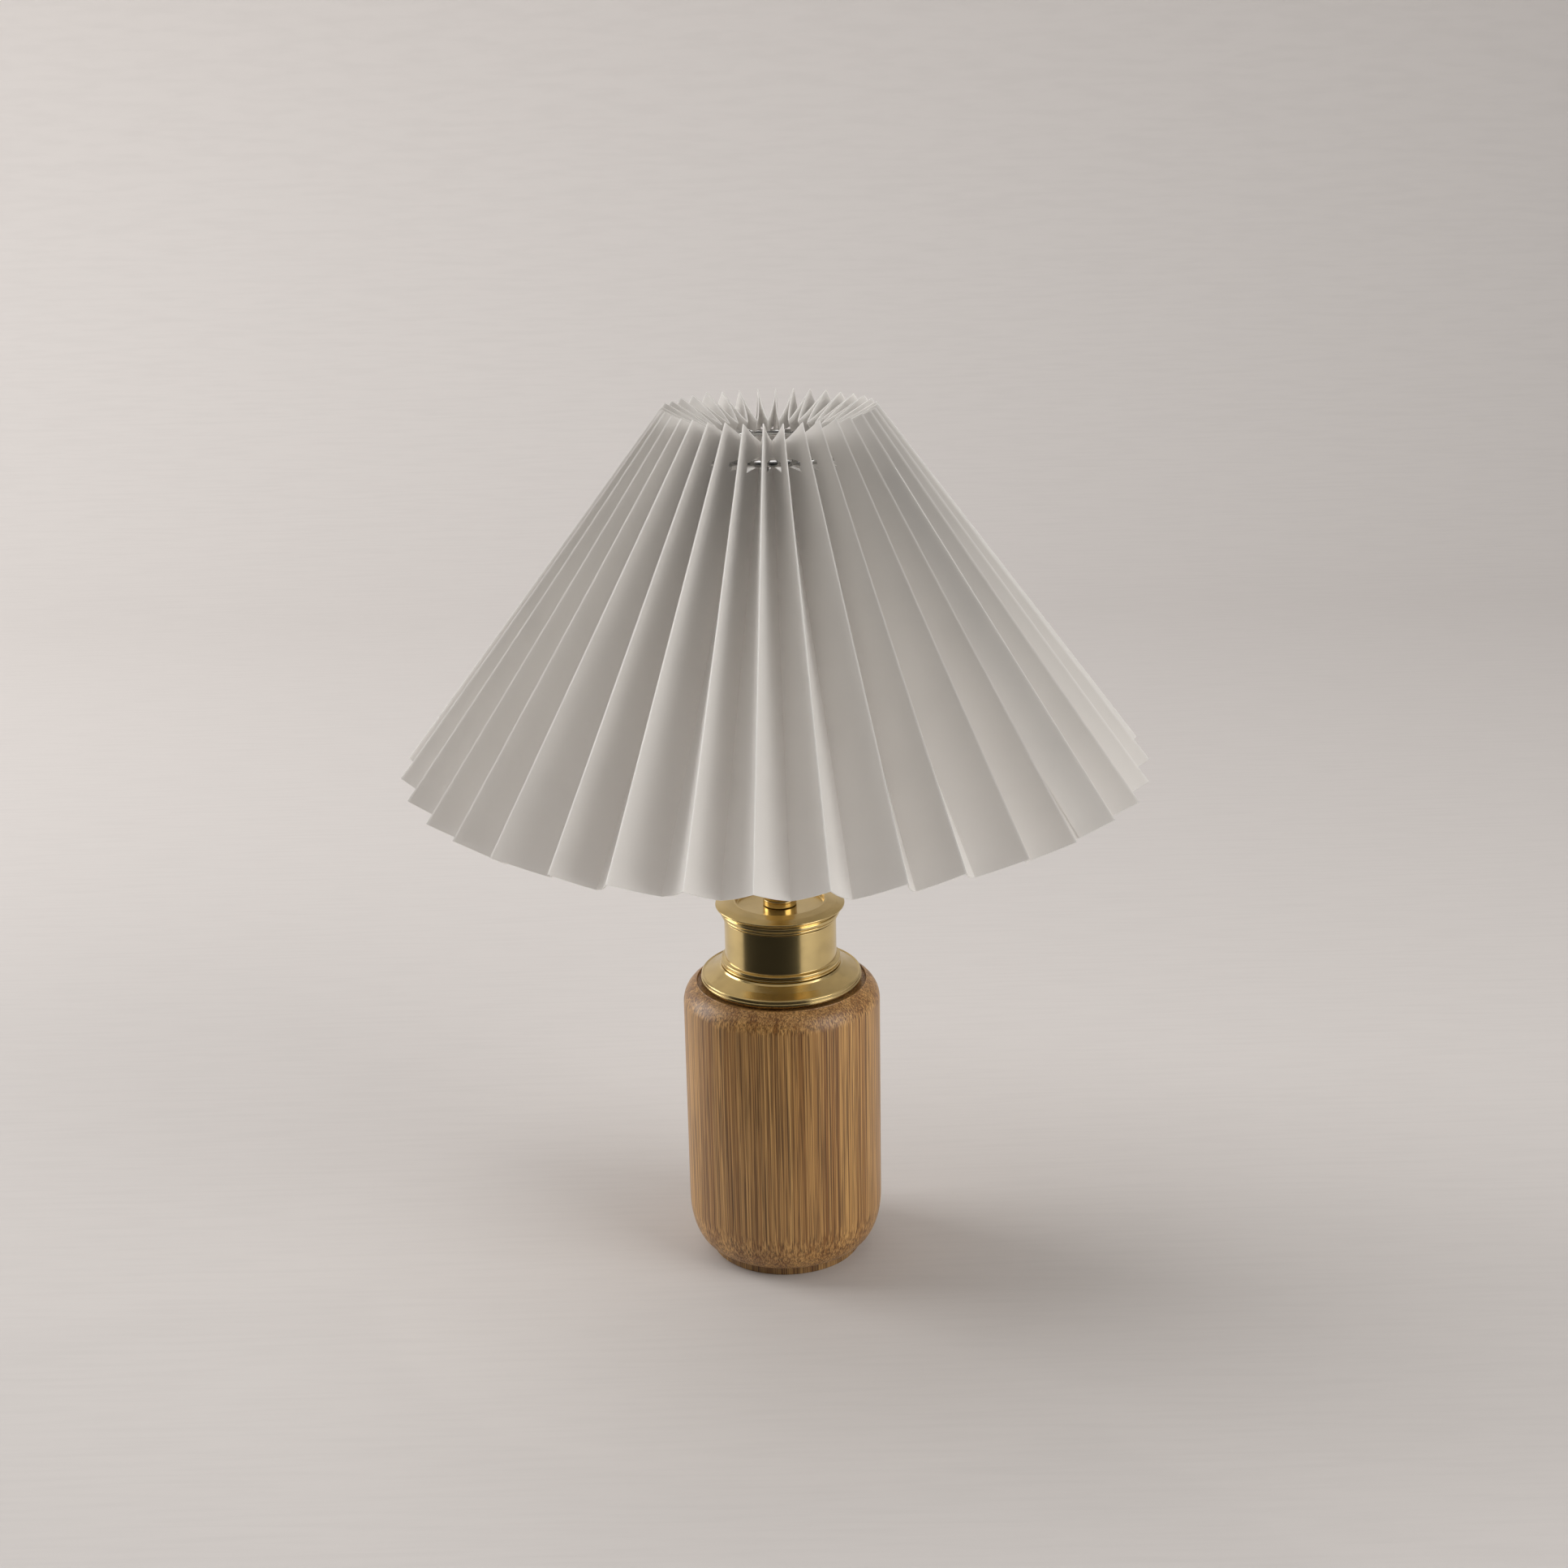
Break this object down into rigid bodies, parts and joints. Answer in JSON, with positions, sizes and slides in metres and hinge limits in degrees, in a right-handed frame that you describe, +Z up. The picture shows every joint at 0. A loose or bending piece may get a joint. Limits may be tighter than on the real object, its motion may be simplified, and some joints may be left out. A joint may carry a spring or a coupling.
{
  "type": "table lamp",
  "caption": "Table lamp with a turned wooden base, a metal neck, a screw lamp holder with its bulb, and a pleated cone shade hung on a wire carrier.",
  "frame": {"origin": "centre of the foot's underside, on the surface that the lamp stands on", "axes": "+Z up along the lamp's axis, -Y towards the front, +Y towards the cord inlet"},
  "size_m": [0.3294, 0.3294, 0.3965],
  "materials": {
    "bamboo": "satin",
    "foot_wood": "satin",
    "brass": "brushed",
    "bright_steel": "polished",
    "plated_steel": "satin",
    "pleated_sheet": "matt",
    "thread": "matt",
    "ceramic": "gloss",
    "opal_glass": "satin",
    "black_glass": "gloss",
    "black_plastic": "matt"
  },
  "bodies": {
    "base": {"foot_disc": "foot_wood", "bamboo_body": "bamboo", "cord_gland": "black_plastic", "tube_washer": "plated_steel", "tube_nut": "plated_steel", "threaded_tube": "plated_steel", "base_flange": "brass", "neck_sleeve": "brass", "top_dish": "brass", "collar_nut": "brass", "stem_tube": "brass", "holder_cap": "brass", "holder_skirt": "brass", "holder_insert": "ceramic", "holder_shell": "brass", "holder_contact": "brass"},
    "ring": {"retaining_ring": "brass"},
    "shade": {"shade_carrier": "bright_steel", "shade_pleats": "pleated_sheet", "spacing_thread": "thread"},
    "bulb_tip": {"bulb_contact": "plated_steel"},
    "bulb": {"bulb_insulator": "black_glass", "bulb_cap": "plated_steel", "bulb_glass": "opal_glass"}
  },
  "joints": [
    {"name": "shade_swivel", "type": "hinge", "parent": "base", "child": "shade", "pos_m": [0, 0, 0.269], "axis": [0, 0, 1], "continuous": true},
    {"name": "ring_turn", "type": "hinge", "parent": "base", "child": "ring", "pos_m": [0, 0, 0.273], "axis": [0, 0, 1], "range_deg": [0, 90]},
    {"name": "bulb_rise", "type": "slide", "parent": "base", "child": "bulb_tip", "axis": [0, 0, 1], "range_m": [0, 0.0182]},
    {"name": "bulb_turn", "type": "hinge", "parent": "bulb_tip", "child": "bulb", "pos_m": [0, 0, 0.27], "axis": [0, 0, 1], "range_deg": [0, 1800]}
  ],
  "couplings": [
    {"joint": "bulb_rise", "follows": "bulb_turn", "m_per_rad": 0.00057757}
  ]
}
